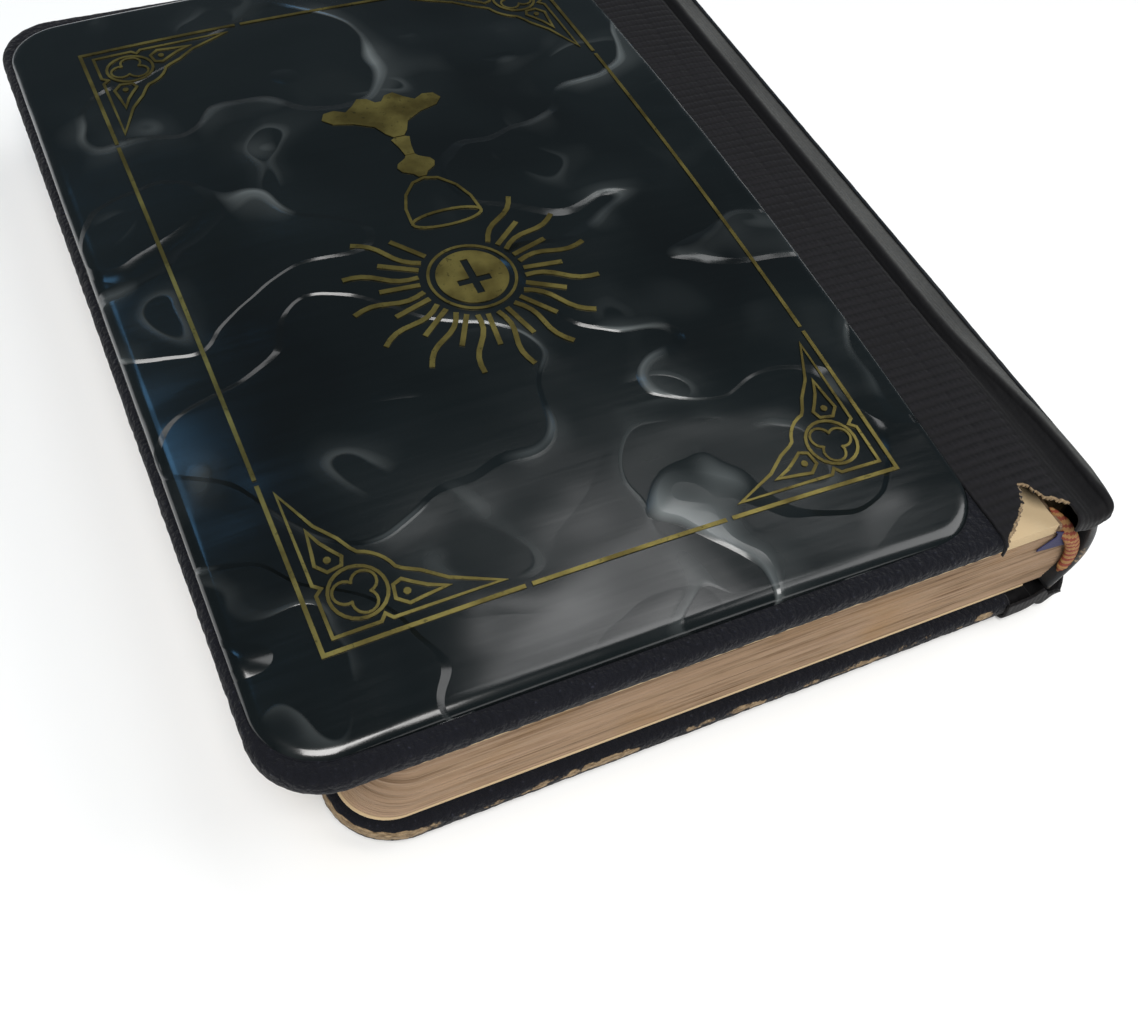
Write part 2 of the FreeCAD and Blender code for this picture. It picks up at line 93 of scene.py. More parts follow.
class BookColours(bpy.types.PropertyGroup):
    """Colours of the finishes."""
    pearl_dark: colour("Pearl dark", "Ground of the celluloid", "#0B1011")
    pearl_light: colour("Pearl light", "Folds in the celluloid", "#666B6B")
    nap: colour("Napped cloth", "Cloth that wraps the boards", "#111219")
    rib: colour("Ribbed cloth", "Cloth of the joints", "#0B090D")
    spine: colour("Spine cloth", "Smooth cloth of the spine", "#101113")
    page: colour("Page edge", "Edges of the leaves", "#957E67")
    leaf: colour("Leaf", "Faces of the leaves and endpapers", "#B9A687")
    board: colour("Board", "Millboard and torn paper", "#A68C68")
    gilt: colour("Gilt", "Gold tooling", "#92854A")


# ---- places taken from the frame -------------------------------------------
def low(node_name):
    """Lowest corner of a node of the frame."""
    return Vector(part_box(node_name)[0])


def high(node_name):
    """Highest corner of a node of the frame."""
    return Vector(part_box(node_name)[1])


PLATE_LO, PLATE_HI = low("front_plate"), high("front_plate")
CLOTH_LO, CLOTH_HI = low("front_cover_cloth"), high("front_cover_cloth")
BACK_LO, BACK_HI = low("back_cover_cloth"), high("back_cover_cloth")
SPINE_LO, SPINE_HI = low("spine_cloth"), high("spine_cloth")
TEXT_HI = high("front_flyleaf")
GILT_LO, GILT_HI = low("gilt_frame"), high("gilt_frame")
MID_Z = (SPINE_LO.z + SPINE_HI.z) / 2
CROWN_R = 640 * MM  # radius of the domed front plate
COVER_R = 7.5 * MM
PLATE_R = 7.0 * MM
TEXT_CORNER = 5.5 * MM
SPINE_X = low("rear_section_3").x
COCK = 2.2 * MM  # how far the leaves lean towards the back cover at the spine
PLATE_C = (PLATE_LO + PLATE_HI) / 2


# ---- mesh helpers -----------------------------------------------------------
def start():
    """Leaves edit mode and deselects everything."""
    if bpy.context.object and bpy.context.object.mode != "OBJECT":
        bpy.ops.object.mode_set(mode="OBJECT")
    bpy.ops.object.select_all(action="DESELECT")


def edit(obj, chosen="SELECT"):
    """Opens one piece in edit mode, with all or nothing of it selected."""
    start()
    obj.select_set(True)
    bpy.context.view_layer.objects.active = obj
    bpy.ops.object.mode_set(mode="EDIT")
    bpy.ops.mesh.select_all(action=chosen)


def turn_over(obj):
    """Turns all faces of a piece the other way."""
    edit(obj)
    bpy.ops.mesh.flip_normals()
    bpy.ops.object.mode_set(mode="OBJECT")


def grid(name, across, along, place):
    """A grid of cells whose points are put at place(i, j), both from 0 to 1."""
    start()
    bpy.ops.mesh.primitive_grid_add(x_subdivisions=across, y_subdivisions=along, size=2)
    obj = bpy.context.object
    obj.name = obj.data.name = name
    for vert in obj.data.vertices:
        vert.co = place((vert.co.x + 1) / 2, (vert.co.y + 1) / 2)
    return obj


def apply_modifier(obj, kind, **settings):
    """Adds a modifier with settings and applies it."""
    mod = obj.modifiers.new(kind.title(), kind)
    for key, value in settings.items():
        setattr(mod, key, value)
    bpy.context.view_layer.objects.active = obj
    bpy.ops.object.modifier_apply(modifier=mod.name)


def face_out(obj):
    """Merges doubles and turns all faces outwards."""
    edit(obj)
    bpy.ops.mesh.remove_doubles(threshold=1e-6)
    bpy.ops.mesh.normals_make_consistent(inside=False)
    bpy.ops.object.mode_set(mode="OBJECT")


def finish_piece(obj, body, materials, smooth=True, nodes=()):
    """Gives a piece its finish, slot and the nodes it stands for, and hangs it on its body when the body is a
    name; a piece given a tuple body stays baked in world place.
    """
    start()
    obj.select_set(True)
    bpy.context.view_layer.objects.active = obj
    bpy.ops.object.transform_apply(location=True, rotation=True, scale=True)
    if smooth:
        bpy.ops.object.shade_smooth()
    obj.data.materials.clear()
    for mat in materials:
        obj.data.materials.append(mat)
    if isinstance(body, str):
        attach(obj, body)
    else:
        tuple(body[2])
        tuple(body[3])
        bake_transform(obj)
    if nodes:
        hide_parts(*nodes)
    obj.select_set(False)


def rounded_point(u, v, lo, hi, radius):
    """Maps a square onto a rounded rectangle, ring by ring."""
    ring = max(abs(u), abs(v))
    cx, cy = (lo.x + hi.x) / 2, (lo.y + hi.y) / 2
    if ring < 1e-9:
        return cx, cy
    hw, hl = (hi.x - lo.x) / 2, (hi.y - lo.y) / 2
    x, y = u / ring * hw, v / ring * hl
    dx, dy = abs(x) - (hw - radius), abs(y) - (hl - radius)
    if dx > 0 and dy > 0:
        d = math.hypot(dx, dy)
        x = math.copysign(hw - radius + dx / d * radius, x)
        y = math.copysign(hl - radius + dy / d * radius, y)
    return cx + ring * x, cy + ring * y


def edge_distance(x, y, lo, hi, radius):
    """How far a point lies inside a rounded rectangle."""
    hw, hl = (hi.x - lo.x) / 2 - radius, (hi.y - lo.y) / 2 - radius
    qx, qy = abs(x - (lo.x + hi.x) / 2) - hw, abs(y - (lo.y + hi.y) / 2) - hl
    outside = math.hypot(max(qx, 0), max(qy, 0)) + min(max(qx, qy), 0)
    return radius - outside


def ease(value):
    """Smooth step from 0 to 1."""
    value = min(1.0, max(0.0, value))
    return value * value * (3 - 2 * value)


def fold_line(z):
    """Spine side of the leaves at one height: rounded, and leaning a little towards the back cover."""
    return SPINE_X + 3.0 * MM * ((z - MID_Z + COCK) / (6.8 * MM)) ** 2


def cap_pull(y, z):
    """How far the case is drawn in towards the leaves near head and tail, more near the back cover."""
    near = max(0.0, (abs(y) - (SPINE_HI.y - 6.6 * MM)) / (6.6 * MM)) ** 2
    return near * (3.0 + 1.0 * ease((MID_Z - z) / (8 * MM))) * MM


def wobble(x, y, z, size, seed):
    """Smooth value from -1 to 1 that changes over the given size."""
    return noise.noise(Vector((x / size + seed * 7.3, y / size - seed * 3.1, z / size + seed)))


# ---- material helpers -------------------------------------------------------
def new_material(name):
    """A node material with its shader and tree."""
    mat = bpy.data.materials.new(name)
    mat.use_nodes = True
    tree = mat.node_tree
    return mat, tree, tree.nodes["Principled BSDF"]


def add(tree, kind, inputs=None, **settings):
    """Adds a node, with its settings, and fills or links its inputs."""
    made = tree.nodes.new(kind)
    for key, value in settings.items():
        setattr(made, key, value)
    for key, value in (inputs or {}).items():
        if isinstance(value, bpy.types.NodeSocket):
            tree.links.new(value, made.inputs[key])
        else:
            made.inputs[key].default_value = value
    return made


def object_place(tree, scale=(1, 1, 1), turn=(0, 0, 0)):
    """Object coordinates, stretched or turned."""
    coords = add(tree, "ShaderNodeTexCoord").outputs["Object"]
    inputs = {"Vector": coords, "Scale": scale, "Rotation": turn}
    return add(tree, "ShaderNodeMapping", inputs).outputs["Vector"]


def grain(tree, place, size, detail=3.0, rough=0.5):
    """Noise whose features are about size metres."""
    made = add(tree, "ShaderNodeTexNoise", {"Vector": place, "Scale": 1 / size, "Detail": detail,
                                            "Roughness": rough})
    return made.outputs["Fac"]


def ramp(tree, value, stops):
    """Colour ramp from (position, linear colour) pairs."""
    made = add(tree, "ShaderNodeValToRGB", {"Fac": value})
    band = made.color_ramp
    while len(band.elements) < len(stops):
        band.elements.new(0.5)
    for element, (place, tone) in zip(band.elements, stops):
        element.position = place
        element.color = (*tone, 1) if len(tone) == 3 else tone
    return made.outputs["Color"]


def shade(level):
    """Grey of a given linear level."""
    return (level, level, level)


def maths(tree, operation, first, second=0.0, third=None):
    """A Math node."""
    made = add(tree, "ShaderNodeMath", {0: first, 1: second}, operation=operation)
    if third is not None:
        if isinstance(third, bpy.types.NodeSocket):
            tree.links.new(third, made.inputs[2])
        else:
            made.inputs[2].default_value = third
    return made.outputs[0]


def mixed(tree, factor, first, second):
    """Mix of two colours."""
    made = add(tree, "ShaderNodeMix", {"Factor": factor}, data_type="RGBA")
    for index, value in ((6, first), (7, second)):
        if isinstance(value, bpy.types.NodeSocket):
            tree.links.new(value, made.inputs[index])
        else:
            made.inputs[index].default_value = (*value, 1)
    return made.outputs[2]


def bump(tree, height, strength, distance):
    """Bump from a height value, distance in metres."""
    return add(tree, "ShaderNodeBump", {"Height": height, "Strength": strength,
                                        "Distance": distance}).outputs["Normal"]


def attribute(tree, name):
    """A value painted on the piece's own points."""
    return add(tree, "ShaderNodeAttribute", attribute_name=name).outputs["Fac"]


def paint(obj, name, value):
    """Stores value(point) on every point of a piece."""
    layer = obj.data.attributes.new(name, "FLOAT", "POINT")
    for vert in obj.data.vertices:
        layer.data[vert.index].value = value(vert.co)


# ---- materials --------------------------------------------------------------
def pearl_celluloid(tones):
    """Cellulose nitrate sheet with pearl folds rolled in, polished: dark, clear gloss over soft streaks."""
    mat, tree, shader = new_material("black pearl celluloid, polished")
    flat = object_place(tree)
    swirl = add(tree, "ShaderNodeTexNoise", {"Vector": flat, "Scale": 1 / 0.02, "Detail": 1.5})
    push = add(tree, "ShaderNodeVectorMath", {0: swirl.outputs["Color"], 1: (-0.5, -0.5, -0.5)},
               operation="ADD")
    push = add(tree, "ShaderNodeVectorMath", {0: push.outputs[0], "Scale": 0.016}, operation="SCALE")
    bent = add(tree, "ShaderNodeVectorMath", {0: flat, 1: push.outputs[0]}, operation="ADD").outputs[0]
    slanted = add(tree, "ShaderNodeMapping", {"Vector": bent, "Scale": (1, 1.6, 1), "Rotation": (0, 0, 0.5)})
    fields = grain(tree, slanted.outputs["Vector"], 0.04, 1.0, 0.4)
    steps = maths(tree, "FRACT", maths(tree, "MULTIPLY", fields, 6.0))
    patch = grain(tree, flat, 0.015, 1.5)
    mask = ramp(tree, patch, [(0.5, shade(0)), (0.68, shade(1))])
    rise = ramp(tree, steps, [(0.0, shade(0)), (0.7, shade(0.02)), (0.9, shade(0.2)), (0.965, shade(1)),
                              (1.0, shade(0))])
    folds = maths(tree, "MULTIPLY", rise, mask)
    blobs = grain(tree, bent, 0.013, 0.5, 0.4)
    loops = ramp(tree, blobs, [(0.5, shade(0)), (0.6, shade(0.05)), (0.635, shade(0.24)), (0.645, shade(0))])
    side = ramp(tree, grain(tree, flat, 0.009, 0.5), [(0.45, shade(0)), (0.65, shade(1))])
    folds = maths(tree, "MAXIMUM", folds, maths(tree, "MULTIPLY", loops, side))
    cloud = grain(tree, bent, 0.026, 2.0)
    ground = ramp(tree, cloud, [(0.3, linear("#070A0B")), (0.5, tones.pearl_dark), (0.64, linear("#0F1415")),
                                (0.8, linear("#1A1E1E"))])
    body = mixed(tree, folds, ground, tones.pearl_light)
    tree.links.new(body, shader.inputs["Base Color"])
    scratch = grain(tree, object_place(tree, (0.03, 1, 1)), 0.0006, 2.0)
    rough = maths(tree, "MULTIPLY_ADD", scratch, 0.14, maths(tree, "MULTIPLY_ADD", cloud, 0.2, 0.03))
    tree.links.new(rough, shader.inputs["Roughness"])
    swell = ramp(tree, steps, [(0.0, shade(0)), (0.5, shade(0.42)), (0.93, shade(1)), (1.0, shade(0))])
    relief = maths(tree, "ADD", maths(tree, "MULTIPLY", folds, 0.35), swell)
    wide = bump(tree, relief, 0.6, 0.0008)
    fine = add(tree, "ShaderNodeBump", {"Height": scratch, "Strength": 0.12, "Distance": 0.04 * MM,
                                        "Normal": wide})
    tree.links.new(fine.outputs["Normal"], shader.inputs["Normal"])
    shader.inputs["IOR"].default_value = 1.5
    shader.inputs["Coat Weight"].default_value = 0.35
    shader.inputs["Coat Roughness"].default_value = 0.08
    return mat


def napped_cloth(name, tone, thread, wear_tones):
    """Cotton book cloth with a raised nap: matt, nearly black, paler fibre tips; worn through on edges."""
    mat, tree, shader = new_material(name)
    place = object_place(tree)
    weave = add(tree, "ShaderNodeTexVoronoi", {"Vector": place, "Scale": 1 / thread, "Randomness": 0.75})
    tuft = grain(tree, place, thread * 0.45, 3.0)
    height = maths(tree, "ADD", maths(tree, "MULTIPLY", weave.outputs["Distance"], -0.8), tuft)
    tips = ramp(tree, height, [(0.0, shade(0)), (0.42, shade(0.05)), (0.75, shade(1))])
    cloud = grain(tree, place, 0.008)
    tone = tuple(tone)
    dark = tuple(c * 0.55 for c in tone)
    pale = tuple(min(1, c * 4.2 + 0.008) for c in tone)
    cloth = mixed(tree, tips, mixed(tree, cloud, dark, tone), pale)
    if wear_tones:
        worn = maths(tree, "ADD", attribute(tree, "wear"), maths(tree, "MULTIPLY", tuft, 0.25))
        patch = ramp(tree, worn,
                     [(0.62, shade(0)), (0.7, shade(1))])
        fibre = grain(tree, object_place(tree, (1, 1, 3)), 0.0009)
        under = ramp(tree, fibre, [(0.3, wear_tones[0]), (0.7, wear_tones[1])])
        cloth = mixed(tree, patch, cloth, under)
    tree.links.new(cloth, shader.inputs["Base Color"])
    shader.inputs["Roughness"].default_value = 0.92
    shader.inputs["Sheen Weight"].default_value = 0.06
    shader.inputs["Sheen Roughness"].default_value = 0.5
    shader.inputs["Specular IOR Level"].default_value = 0.2
    tree.links.new(bump(tree, height, 0.9, 0.0003), shader.inputs["Normal"])
    return mat


def ribbed_cloth(tone, board_tones):
    """Cotton rep, sized and calendered: ribs with painted highlights on their crowns and painted shade
    between them, a faint purple cast, and a painted grey sheen band on the spine shoulder.
    """
    mat, tree, shader = new_material("black cotton rep book cloth")
    place = object_place(tree)
    painted_rib_highlights = attribute(tree, "painted_rib_highlight")
    threads = add(tree, "ShaderNodeTexWave", {"Vector": place, "Scale": 1 / 0.0022, "Distortion": 1.5,
                                              "Detail": 1.0}, bands_direction="X")
    speck = grain(tree, place, 0.0005, 3.0)
    tone = tuple(tone)
    dark = tuple(c * 0.35 for c in tone)
    pale = tuple(min(1, c * 2.2 + 0.004) for c in tone)
    # Rib crowns painted paler as highlight, the hollows between ribs painted darker as shade.
    lift = maths(tree, "MULTIPLY", painted_rib_highlights, maths(tree, "ADD", speck, 0.25))
    cloth = mixed(tree, lift, dark, pale)
    rub = ramp(tree, maths(tree, "MULTIPLY", attribute(tree, "wear"), maths(tree, "ADD", speck, 0.5)),
               [(0.45, shade(0)), (0.62, shade(1))])
    # Painted sheen: a grey band of light painted on the spine shoulder, laid by the band value.
    wear_and_sheen = mixed(tree, speck, linear("#3C3D3D"), linear("#5A5A57"))
    cloth = mixed(tree, attribute(tree, "band"), cloth, wear_and_sheen)
    cloth = mixed(tree, rub, cloth, ramp(tree, speck, [(0.3, board_tones[0]), (0.7, board_tones[1])]))
    tree.links.new(cloth, shader.inputs["Base Color"])
    shader.inputs["Roughness"].default_value = 0.8
    shader.inputs["Sheen Weight"].default_value = 0.05
    shader.inputs["Specular IOR Level"].default_value = 0.25
    relief = maths(tree, "ADD", maths(tree, "MULTIPLY", threads.outputs["Fac"], 0.4), speck)
    tree.links.new(bump(tree, relief, 0.6, 0.00012), shader.inputs["Normal"])
    return mat


def spine_cloth(tone, board_tones):
    """Smooth sized cotton, rubbed by hands: a soft sheen over a fine grain, grey where rubbed."""
    mat, tree, shader = new_material("black smooth sized book cloth")
    place = object_place(tree)
    fine = grain(tree, place, 0.0004, 3.0)
    cloud = grain(tree, object_place(tree, (1, 0.35, 1)), 0.006, 4.0)
    tone = tuple(tone)
    pale = tuple(min(1, c * 2.4 + 0.008) for c in tone)
    cloth = mixed(tree, ramp(tree, cloud, [(0.35, shade(0)), (0.8, shade(0.8))]), tone, pale)
    edge = maths(tree, "MULTIPLY", attribute(tree, "wear"), maths(tree, "ADD", fine, 0.45))
    rub = ramp(tree, edge, [(0.45, shade(0)), (0.6, shade(1))])
    cloth = mixed(tree, rub, cloth, ramp(tree, fine, [(0.3, board_tones[0]), (0.7, board_tones[1])]))
    tree.links.new(cloth, shader.inputs["Base Color"])
    tree.links.new(maths(tree, "MULTIPLY_ADD", cloud, 0.3, 0.32), shader.inputs["Roughness"])
    shader.inputs["Sheen Weight"].default_value = 0.03
    tree.links.new(bump(tree, maths(tree, "ADD", fine, cloud), 0.5, 0.00012), shader.inputs["Normal"])
    return mat


def page_edges(tone):
    """Cut edges of aged rag and wood paper: fine lines along the leaves, tan and brown streaks, matt."""
    mat, tree, shader = new_material("aged book paper, cut edges")
    lines = grain(tree, object_place(tree, (0.025, 0.025, 1)), 0.00028, 4.0, 0.6)
    broad = grain(tree, object_place(tree, (0.06, 0.06, 1)), 0.0013, 3.0)
    stain = grain(tree, object_place(tree, (1, 1, 1.5)), 0.011, 4.0)
    tone = tuple(tone)
    dark = tuple(c * f for c, f in zip(tone, (0.42, 0.36, 0.3)))
    pale = tuple(min(1, c * f) for c, f in zip(tone, (1.22, 1.24, 1.3)))
    body = mixed(tree, ramp(tree, lines, [(0.28, shade(1)), (0.52, shade(0.1)), (0.7, shade(0))]), tone, dark)
    body = mixed(tree, ramp(tree, broad, [(0.45, shade(0)), (0.75, shade(0.75))]), body, pale)
    body = mixed(tree, ramp(tree, stain, [(0.5, shade(0)), (0.8, shade(0.55))]), body, linear("#8E6F4A"))
    tree.links.new(body, shader.inputs["Base Color"])
    shader.inputs["Roughness"].default_value = 0.85
    shader.inputs["Specular IOR Level"].default_value = 0.25
    tree.links.new(bump(tree, lines, 0.8, 0.00012), shader.inputs["Normal"])
    return mat


def leaf_paper(tone, name):
    """Uncoated book paper, aged: cream, browner in broad random clouds, faint fibre and foxing."""
    mat, tree, shader = new_material(name)
    place = object_place(tree)
    fibre = grain(tree, place, 0.0008, 4.0)
    cloud = grain(tree, place, 0.03, 3.0)
    spots = add(tree, "ShaderNodeTexVoronoi", {"Vector": place, "Scale": 1 / 0.014})
    tone = tuple(min(1, c * 1.25) for c in tone)
    dark = tuple(c * f for c, f in zip(tone, (0.84, 0.78, 0.68)))
    body = mixed(tree, cloud, tone, dark)
    fox = ramp(tree, spots.outputs["Distance"], [(0.0, shade(0.35)), (0.09, shade(0))])
    body = mixed(tree, fox, body, linear("#9C7446"))
    body = mixed(tree, ramp(tree, fibre, [(0.5, shade(0)), (0.9, shade(0.3))]), body, dark)
    tree.links.new(body, shader.inputs["Base Color"])
    shader.inputs["Roughness"].default_value = 0.9
    tree.links.new(bump(tree, fibre, 0.3, 0.00005), shader.inputs["Normal"])
    return mat


def millboard(tone, name):
    """Rope-fibre board and kraft paper: tan, matt, torn into soft layers."""
    mat, tree, shader = new_material(name)
    layers = grain(tree, object_place(tree, (0.15, 0.15, 1)), 0.0005, 3.0)
    fibre = grain(tree, object_place(tree), 0.0007, 4.0)
    tone = tuple(tone)
    dark = tuple(c * 0.5 for c in tone)
    pale = tuple(min(1, c * 1.5) for c in tone)
    body = mixed(tree, layers, dark, mixed(tree, fibre, tone, pale))
    tree.links.new(body, shader.inputs["Base Color"])
    shader.inputs["Roughness"].default_value = 0.95
    tree.links.new(bump(tree, maths(tree, "ADD", layers, fibre), 0.8, 0.00025), shader.inputs["Normal"])
    return mat


def gold_leaf(tone):
    """Gold foil pressed hot into celluloid, dulled with handling: metal with a broken, dusty surface."""
    mat, tree, shader = new_material("gold foil tooling, dulled")
    place = object_place(tree)
    patch = grain(tree, place, 0.004, 4.0)
    speck = grain(tree, place, 0.0005, 2.0)
    tone = tuple(tone)
    dull = tuple(c * f for c, f in zip(tone, (0.45, 0.43, 0.4)))
    body = mixed(tree, ramp(tree, patch, [(0.4, shade(0)), (0.65, shade(1))]), dull, tone)
    body = mixed(tree, ramp(tree, speck, [(0.62, shade(0)), (0.72, shade(0.6))]), body, linear("#2A2818"))
    tree.links.new(body, shader.inputs["Base Color"])
    shader.inputs["Metallic"].default_value = 0.8
    shader.inputs["Roughness"].default_value = 0.4
    tree.links.new(bump(tree, speck, 0.4, 0.00005), shader.inputs["Normal"])
    return mat


def silk(name, value):
    """Twisted silk thread: soft, slightly shiny, with fine plies."""
    mat, tree, shader = new_material(name)
    plies = grain(tree, object_place(tree), 0.0002, 2.0)
    tone = linear(value)
    body = mixed(tree, plies, tuple(c * 0.5 for c in tone), tone)
    tree.links.new(body, shader.inputs["Base Color"])
    shader.inputs["Roughness"].default_value = 0.6
    shader.inputs["Specular IOR Level"].default_value = 0.3
    tree.links.new(bump(tree, plies, 0.5, 0.0001), shader.inputs["Normal"])
    return mat


def studio_paper():
    """Seamless backdrop paper: matt and nearly white."""
    mat, tree, shader = new_material("white backdrop paper")
    soft = grain(tree, object_place(tree), 0.2, 1.0)
    body = ramp(tree, soft, [(0.3, linear("#F8F8F7")), (0.7, linear("#FBFBFA"))])
    tree.links.new(body, shader.inputs["Base Color"])
    shader.inputs["Roughness"].default_value = 0.9
    return mat


MADE = {}  # finishes made so far


def finish(name):
    """A finish made once and shared by the pieces that have it."""
    tones = bpy.context.scene.book_colours
    sizes = bpy.context.scene.book_sizes
    board_pair = (linear("#5E4C38"), linear("#A38D6E"))
    makers = {
        "pearl": lambda: pearl_celluloid(tones),
        "nap": lambda: napped_cloth("black napped book cloth", tones.nap, sizes.thread, None),
        "worn_nap": lambda: napped_cloth("black napped book cloth, worn through", tones.nap, sizes.thread,
                                         board_pair),
        "rib": lambda: ribbed_cloth(tones.rib, board_pair),
        "spine": lambda: spine_cloth(tones.spine, board_pair),
        "page": lambda: page_edges(tones.page),
        "leaf": lambda: leaf_paper(tones.leaf, "aged book paper"),
        "board": lambda: millboard(tones.board, "tan millboard"),
        "gilt": lambda: gold_leaf(tones.gilt),
        "red": lambda: silk("red silk thread", "#8E4230"),
        "straw": lambda: silk("straw silk thread", "#A97C4C"),
        "violet": lambda: silk("blue-violet ribbon silk", "#33345C"),
        "mull": lambda: silk("starched open cotton", "#B8AC93"),
    }
    if name not in MADE:
        MADE[name] = makers[name]()
    return MADE[name]


# ---- pieces -----------------------------------------------------------------
def crown_height(x, y):
    """Height of the crowned plate."""
    r2 = (x - PLATE_C.x) ** 2 + (y - PLATE_C.y) ** 2
    return PLATE_HI.z - CROWN_R + math.sqrt(CROWN_R ** 2 - r2)


def plate_point(i, j, roll):
    """Point of the front plate's outer face."""
    u, v = (2 * t - 1 for t in (i, j))
    u, v = (math.copysign(1 - (1 - abs(t)) ** 1.7, t) for t in (u, v))
    x, y = rounded_point(u, v, PLATE_LO, PLATE_HI, PLATE_R)
    depth = max(0.0, edge_distance(x, y, PLATE_LO, PLATE_HI, PLATE_R))
    z = crown_height(x, y)
    z -= 0.06 * MM * (0.5 + 0.5 * wobble(x, y, 0, 14 * MM, 3))
    if depth < roll:
        z -= roll * 0.75 * (1 - math.sqrt(max(0.0, 1 - (1 - depth / roll) ** 2)))
    return Vector((x, y, z))


class BOOK_OT_front_plate(bpy.types.Operator):
    """Crowned celluloid plate with a rolled rim"""
    bl_idname = "book.front_plate"
    bl_label = "Front plate"

    def execute(self, context):
        roll = context.scene.book_sizes.rim_round
        obj = grid("celluloid_plate_front", 130, 170, lambda i, j: plate_point(i, j, roll))
        edit(obj)
        bpy.ops.mesh.region_to_loop()
        bpy.ops.mesh.extrude_region_move()
        bpy.ops.object.mode_set(mode="OBJECT")
        for vert in obj.data.vertices:
            if vert.select:
                vert.co.z = PLATE_LO.z
        face_out(obj)
        finish_piece(obj, "front_cover", [finish("pearl")], nodes=("front_plate",))
        return {"FINISHED"}


def cover_outline(t, lo, hi, radius):
    """Point and outward direction along a cover's three free edges, t from 0 to 1."""
    straight_x = hi.x - radius - lo.x
    straight_y = (hi.y - lo.y) - 2 * radius
    bend = math.pi / 2 * radius
    total = 2 * straight_x + 2 * bend + straight_y
    s = t * total
    if s <= straight_x:
        return Vector((lo.x + s, hi.y, 0)), Vector((0, 1, 0))
    s -= straight_x
    if s <= bend:
        a = math.pi / 2 - s / radius
        out = Vector((math.cos(a), math.sin(a), 0))
        return Vector((hi.x - radius, hi.y - radius, 0)) + out * radius, out
    s -= bend
    if s <= straight_y:
        return Vector((hi.x, hi.y - radius - s, 0)), Vector((1, 0, 0))
    s -= straight_y
    if s <= bend:
        a = -s / radius
        out = Vector((math.cos(a), math.sin(a), 0))
        return Vector((hi.x - radius, lo.y + radius, 0)) + out * radius, out
    s -= bend
    return Vector((hi.x - radius - min(s, straight_x), lo.y, 0)), Vector((0, -1, 0))


def wrap_profile(t, thick, turn):
    """Depth inwards and height of cloth folded round a board edge, t from 0 to 1."""
    r = thick * 0.42
    flat = turn - r
    wall = thick - 2 * r
    quarter = math.pi / 2 * r
    total = 2 * flat + wall + 2 * quarter
    s = t * total
    if s < flat:
        return turn - s, thick
    s -= flat
    if s < quarter:
        a = s / r
        return r - r * math.sin(a), thick - r + r * math.cos(a)
    s -= quarter
    if s < wall:
        return 0.0, thick - r - s
    s -= wall
    if s < quarter:
        a = s / r
        return r - r * math.cos(a), r - r * math.sin(a)
    return r + (s - quarter), 0.0


def wrapped_cloth(name, lo, hi, body, mat, upside, nodes, wear):
    """Cloth folded round the three free edges of a board, its turn-ins mitred at the corners."""
    thick = hi.z - lo.z
    turn = 7.9 * MM
    corner_x, corner_y = hi.x - turn, hi.y - turn

    def place(i, j):
        point, out = cover_outline(j, lo, hi, COVER_R)
        depth, height = wrap_profile(min(1.0, max(0.0, i)), thick, turn)
        x, y = point.x - out.x * depth, point.y - out.y * depth
        if depth > COVER_R:
            x = min(x, corner_x)
            y = max(-corner_y, min(corner_y, y))
        z = lo.z + (height if upside else thick - height)
        ruffle = 0.07 * MM * wobble(x, y, z, 1.1 * MM, 2) + 0.05 * MM * wobble(x, y, z, 0.5 * MM, 5)
        return Vector((x, y, z)) + (out if depth < MM else Vector((0, 0, 1 if upside else -1))) * ruffle

    obj = grid(name, 44, 900, place)
    face_out(obj)
    paint(obj, "wear", wear)
    apply_modifier(obj, "SOLIDIFY", thickness=0.3 * MM, offset=-1.0)
    finish_piece(obj, body, [mat], nodes=nodes)


class BOOK_OT_cover_cloth(bpy.types.Operator):
    """Napped cloth folded round both boards"""
    bl_idname = "book.cover_cloth"
    bl_label = "Cover cloth"

    def execute(self, context):
        wrapped_cloth("cover_cloth_front", CLOTH_LO, CLOTH_HI, "front_cover", finish("nap"), True,
                      ("front_cover_cloth",), lambda co: 0.0)

        def wear_and_sheen(co):
            rim = edge_distance(co.x, co.y, BACK_LO, BACK_HI, COVER_R)
            near = max(0.0, 1 - rim / (1.6 * MM))
            layer = ease(1.6 - abs(co.z - BACK_LO.z - 1.6 * MM) / (0.6 * MM))
            run = 0.5 + 0.5 * wobble(co.x, co.y, co.z * 2, 5 * MM, 4)
            corner = ease((co.x - BACK_HI.x + 12 * MM) / (8 * MM)) * 0.35
            broken = 0.75 + 0.35 * wobble(co.x, co.y, co.z, 1.2 * MM, 8)
            return near * layer * (0.2 + run + corner) * broken * ease((co.x - BACK_LO.x - 1 * MM) / (3 * MM))

        wrapped_cloth("cover_cloth_back", BACK_LO, BACK_HI, "back_cover", finish("worn_nap"), False,
                      ("back_cover_cloth",), wear_and_sheen)
        return {"FINISHED"}


def crest_x(y):
    """Ridge between the groove and the shoulder of the spine."""
    return SPINE_LO.x + (6.2 - 2.2 * ease((y / MM - 28) / 24)) * MM


